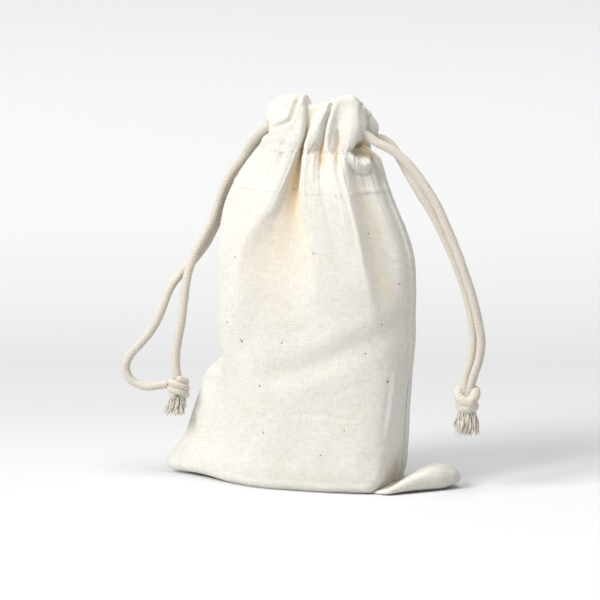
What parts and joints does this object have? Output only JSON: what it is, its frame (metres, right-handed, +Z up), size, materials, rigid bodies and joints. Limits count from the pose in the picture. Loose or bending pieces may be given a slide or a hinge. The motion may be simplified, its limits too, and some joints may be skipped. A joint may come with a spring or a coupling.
{
  "type": "herbal compress pouch",
  "caption": "Unbleached cotton drawstring pouch with a herbal filling, standing upright with its mouth drawn shut by a knotted cord on each side.",
  "frame": {"origin": "bottom centre of the pouch, on the surface it stands on", "axes": "+Z up, -Y out of the front, +X to the right as seen from the front"},
  "size_m": [0.1552, 0.046, 0.163],
  "materials": {
    "cotton_cloth": "matte",
    "cotton_cord": "matte",
    "sewing_thread": "matte",
    "dried_herbs": "matte"
  },
  "bodies": {
    "pouch": {"front_panel": "cotton_cloth", "front_casing": "cotton_cloth", "front_channel_stitching": "sewing_thread", "front_hem_stitching": "sewing_thread", "back_panel": "cotton_cloth", "back_casing": "cotton_cloth", "back_channel_stitching": "sewing_thread", "back_hem_stitching": "sewing_thread", "herb_filling": "dried_herbs", "left_side_seam": "cotton_cloth", "right_side_seam": "cotton_cloth", "bottom_seam": "cotton_cloth", "left_cord_far_turn": "cotton_cord", "right_cord_far_turn": "cotton_cord"},
    "left_cord": {"left_cord_front_run": "cotton_cord", "left_cord_back_run": "cotton_cord"},
    "left_cord_tail": {"left_cord_front_leg": "cotton_cord", "left_cord_back_leg": "cotton_cord", "left_cord_knot": "cotton_cord", "left_cord_tassel": "cotton_cord"},
    "right_cord": {"right_cord_front_run": "cotton_cord", "right_cord_back_run": "cotton_cord"},
    "right_cord_tail": {"right_cord_front_leg": "cotton_cord", "right_cord_back_leg": "cotton_cord", "right_cord_knot": "cotton_cord", "right_cord_tassel": "cotton_cord"}
  },
  "joints": [
    {"name": "left_cord_pull", "type": "slide", "parent": "pouch", "child": "left_cord", "axis": [-1, 0, 0], "range_m": [0, 0.015]},
    {"name": "left_cord_swing", "type": "hinge", "parent": "left_cord", "child": "left_cord_tail", "pos_m": [-0.0185, 0, 0.1498], "axis": [1, 0, 0], "range_deg": [-10, 30]},
    {"name": "right_cord_pull", "type": "slide", "parent": "pouch", "child": "right_cord", "axis": [1, 0, 0], "range_m": [0, 0.015]},
    {"name": "right_cord_swing", "type": "hinge", "parent": "right_cord", "child": "right_cord_tail", "pos_m": [0.0285, 0, 0.1434], "axis": [1, 0, 0], "range_deg": [-30, 30]}
  ]
}
